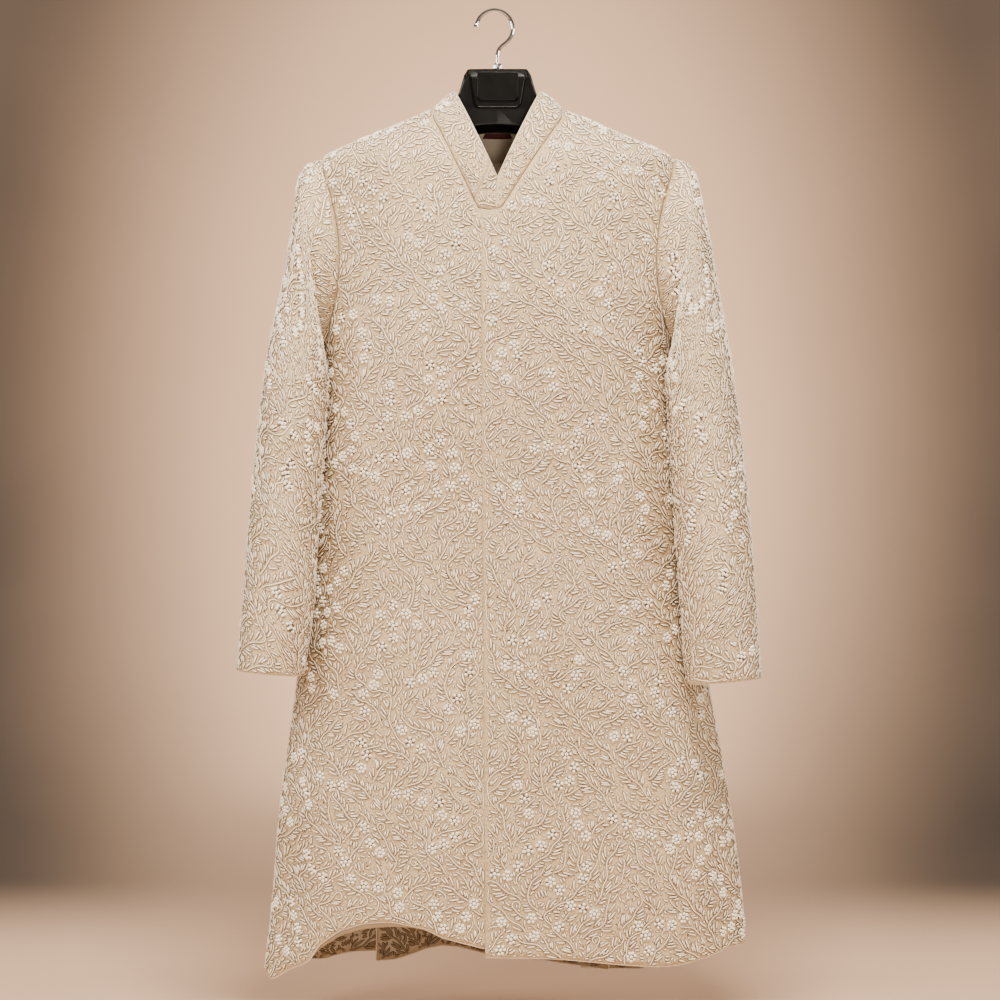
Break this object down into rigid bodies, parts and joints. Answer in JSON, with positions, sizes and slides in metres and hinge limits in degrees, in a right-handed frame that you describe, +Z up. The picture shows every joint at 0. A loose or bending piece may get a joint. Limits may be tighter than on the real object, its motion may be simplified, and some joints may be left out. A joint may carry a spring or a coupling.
{
  "type": "sherwani coat on a suit hanger",
  "caption": "Knee-length stand-collar sherwani coat with long two-piece sleeves and vented back, hanging on a wide suit hanger with a wire hook.",
  "frame": {"origin": "inner top of the hook's bow, where the hanger rests on a rod", "axes": "+Z up along the hanging coat, -Y out of the coat's front, +X to the viewer's right"},
  "size_m": [0.6155, 0.2324, 1.1651],
  "materials": {
    "ivory_brocade": "raised tonal embroidery with small pearl beads on an ivory ground",
    "beige_lining": "smooth satin lining and plain facing",
    "red_label": "plain woven label",
    "black_plastic": "glossy black",
    "bright_steel": "polished"
  },
  "bodies": {
    "root": {"front_left": "ivory_brocade", "front_right": "ivory_brocade", "back_middle": "ivory_brocade", "back_side_left": "ivory_brocade", "back_side_right": "ivory_brocade", "sleeve_left_upper": "ivory_brocade", "sleeve_left_under": "ivory_brocade", "sleeve_right_upper": "ivory_brocade", "sleeve_right_under": "ivory_brocade", "collar": "ivory_brocade", "collar_end": "ivory_brocade", "hem_facing": "beige_lining", "neck_lining": "beige_lining", "neck_label": "red_label", "hanger_body": "black_plastic", "hanger_badge": "black_plastic", "hanger_ridge": "black_plastic", "hook": "bright_steel", "hook_ferrule": "bright_steel"}
  },
  "joints": []
}
